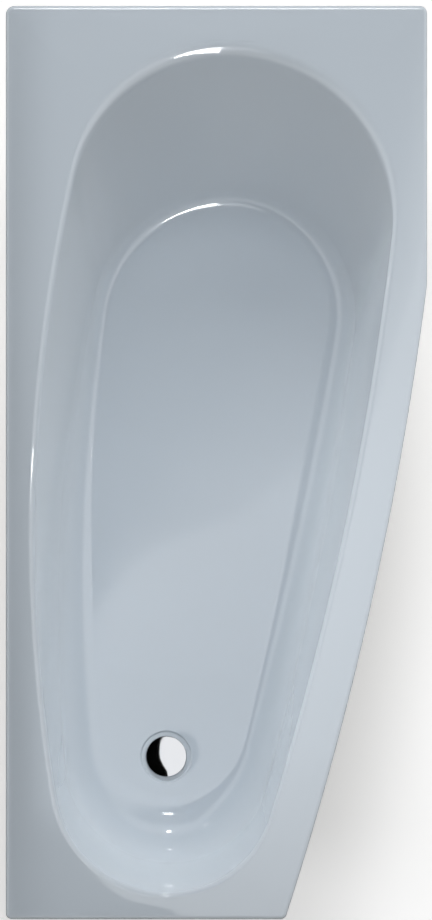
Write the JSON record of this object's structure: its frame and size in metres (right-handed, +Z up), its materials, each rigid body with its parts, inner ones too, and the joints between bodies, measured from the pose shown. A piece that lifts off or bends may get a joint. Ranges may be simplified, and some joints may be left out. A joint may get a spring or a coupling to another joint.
{
  "type": "bathtub",
  "caption": "Space-saving built-in bathtub with one tapered side, egg-shaped well, push plug, trap and adjustable feet.",
  "frame": {"origin": "middle of the tub's rectangular outline, on the floor under its feet", "axes": "+Y towards the head end, +X towards the tapered side, +Z up"},
  "size_m": [0.692, 1.5, 0.59],
  "materials": {
    "acrylic": "polished, glass-fibre backed",
    "chipboard": "pressed board",
    "timber": "sawn softwood",
    "galvanised_steel": "hot-dip galvanised",
    "zinc_steel": "zinc plated",
    "spring_steel": "bright wire",
    "chrome": "polished plate",
    "brass": "turned",
    "rubber": "moulded",
    "white_plastic": "injection moulded",
    "pipe_plastic": "extruded",
    "black_plastic": "injection moulded"
  },
  "bodies": {
    "tub": {"tub_shell": "acrylic", "base_board": "chipboard", "head_batten": "timber", "foot_batten": "timber", "long_side_batten": "timber", "short_side_batten": "timber", "taper_batten": "timber", "head_rail": "galvanised_steel", "foot_rail": "galvanised_steel", "rail_screws": "zinc_steel", "rail_nuts": "zinc_steel", "waste_flange": "chrome", "flange_seal": "rubber", "tail_washer": "rubber", "waste_backnut": "brass", "plug_cartridge": "white_plastic", "trap_nut": "white_plastic", "trap_washer": "rubber"},
    "plug": {"plug_cap": "chrome", "plug_stem": "brass", "plug_seal": "rubber", "plug_spring": "spring_steel"},
    "trap": {"trap_body": "white_plastic", "cleanout_cap": "white_plastic", "cleanout_seal": "rubber", "outlet_seal": "rubber", "outlet_nut": "white_plastic", "outlet_pipe": "pipe_plastic"},
    "foot_head_long": {"foot_stud_head_long": "zinc_steel", "foot_pad_head_long": "black_plastic", "locknut_head_long": "zinc_steel"},
    "foot_head_taper": {"foot_stud_head_taper": "zinc_steel", "foot_pad_head_taper": "black_plastic", "locknut_head_taper": "zinc_steel"},
    "foot_foot_long": {"foot_stud_foot_long": "zinc_steel", "foot_pad_foot_long": "black_plastic", "locknut_foot_long": "zinc_steel"},
    "foot_foot_taper": {"foot_stud_foot_taper": "zinc_steel", "foot_pad_foot_taper": "black_plastic", "locknut_foot_taper": "zinc_steel"}
  },
  "joints": [
    {"name": "plug_lift", "type": "slide", "parent": "tub", "child": "plug", "axis": [0, 0, 1], "range_m": [0, 0.01], "deforming": ["plug_spring"]},
    {"name": "trap_swing", "type": "hinge", "parent": "tub", "child": "trap", "pos_m": [-0.088, -0.515, 0.141], "axis": [0, 0, 1], "range_deg": [-60, 60]},
    {"name": "foot_height_head_long", "type": "slide", "parent": "tub", "child": "foot_head_long", "axis": [0, 0, 1], "range_m": [-0.04, 0]},
    {"name": "foot_height_head_taper", "type": "slide", "parent": "tub", "child": "foot_head_taper", "axis": [0, 0, 1], "range_m": [-0.04, 0]},
    {"name": "foot_height_foot_long", "type": "slide", "parent": "tub", "child": "foot_foot_long", "axis": [0, 0, 1], "range_m": [-0.04, 0]},
    {"name": "foot_height_foot_taper", "type": "slide", "parent": "tub", "child": "foot_foot_taper", "axis": [0, 0, 1], "range_m": [-0.04, 0]}
  ]
}
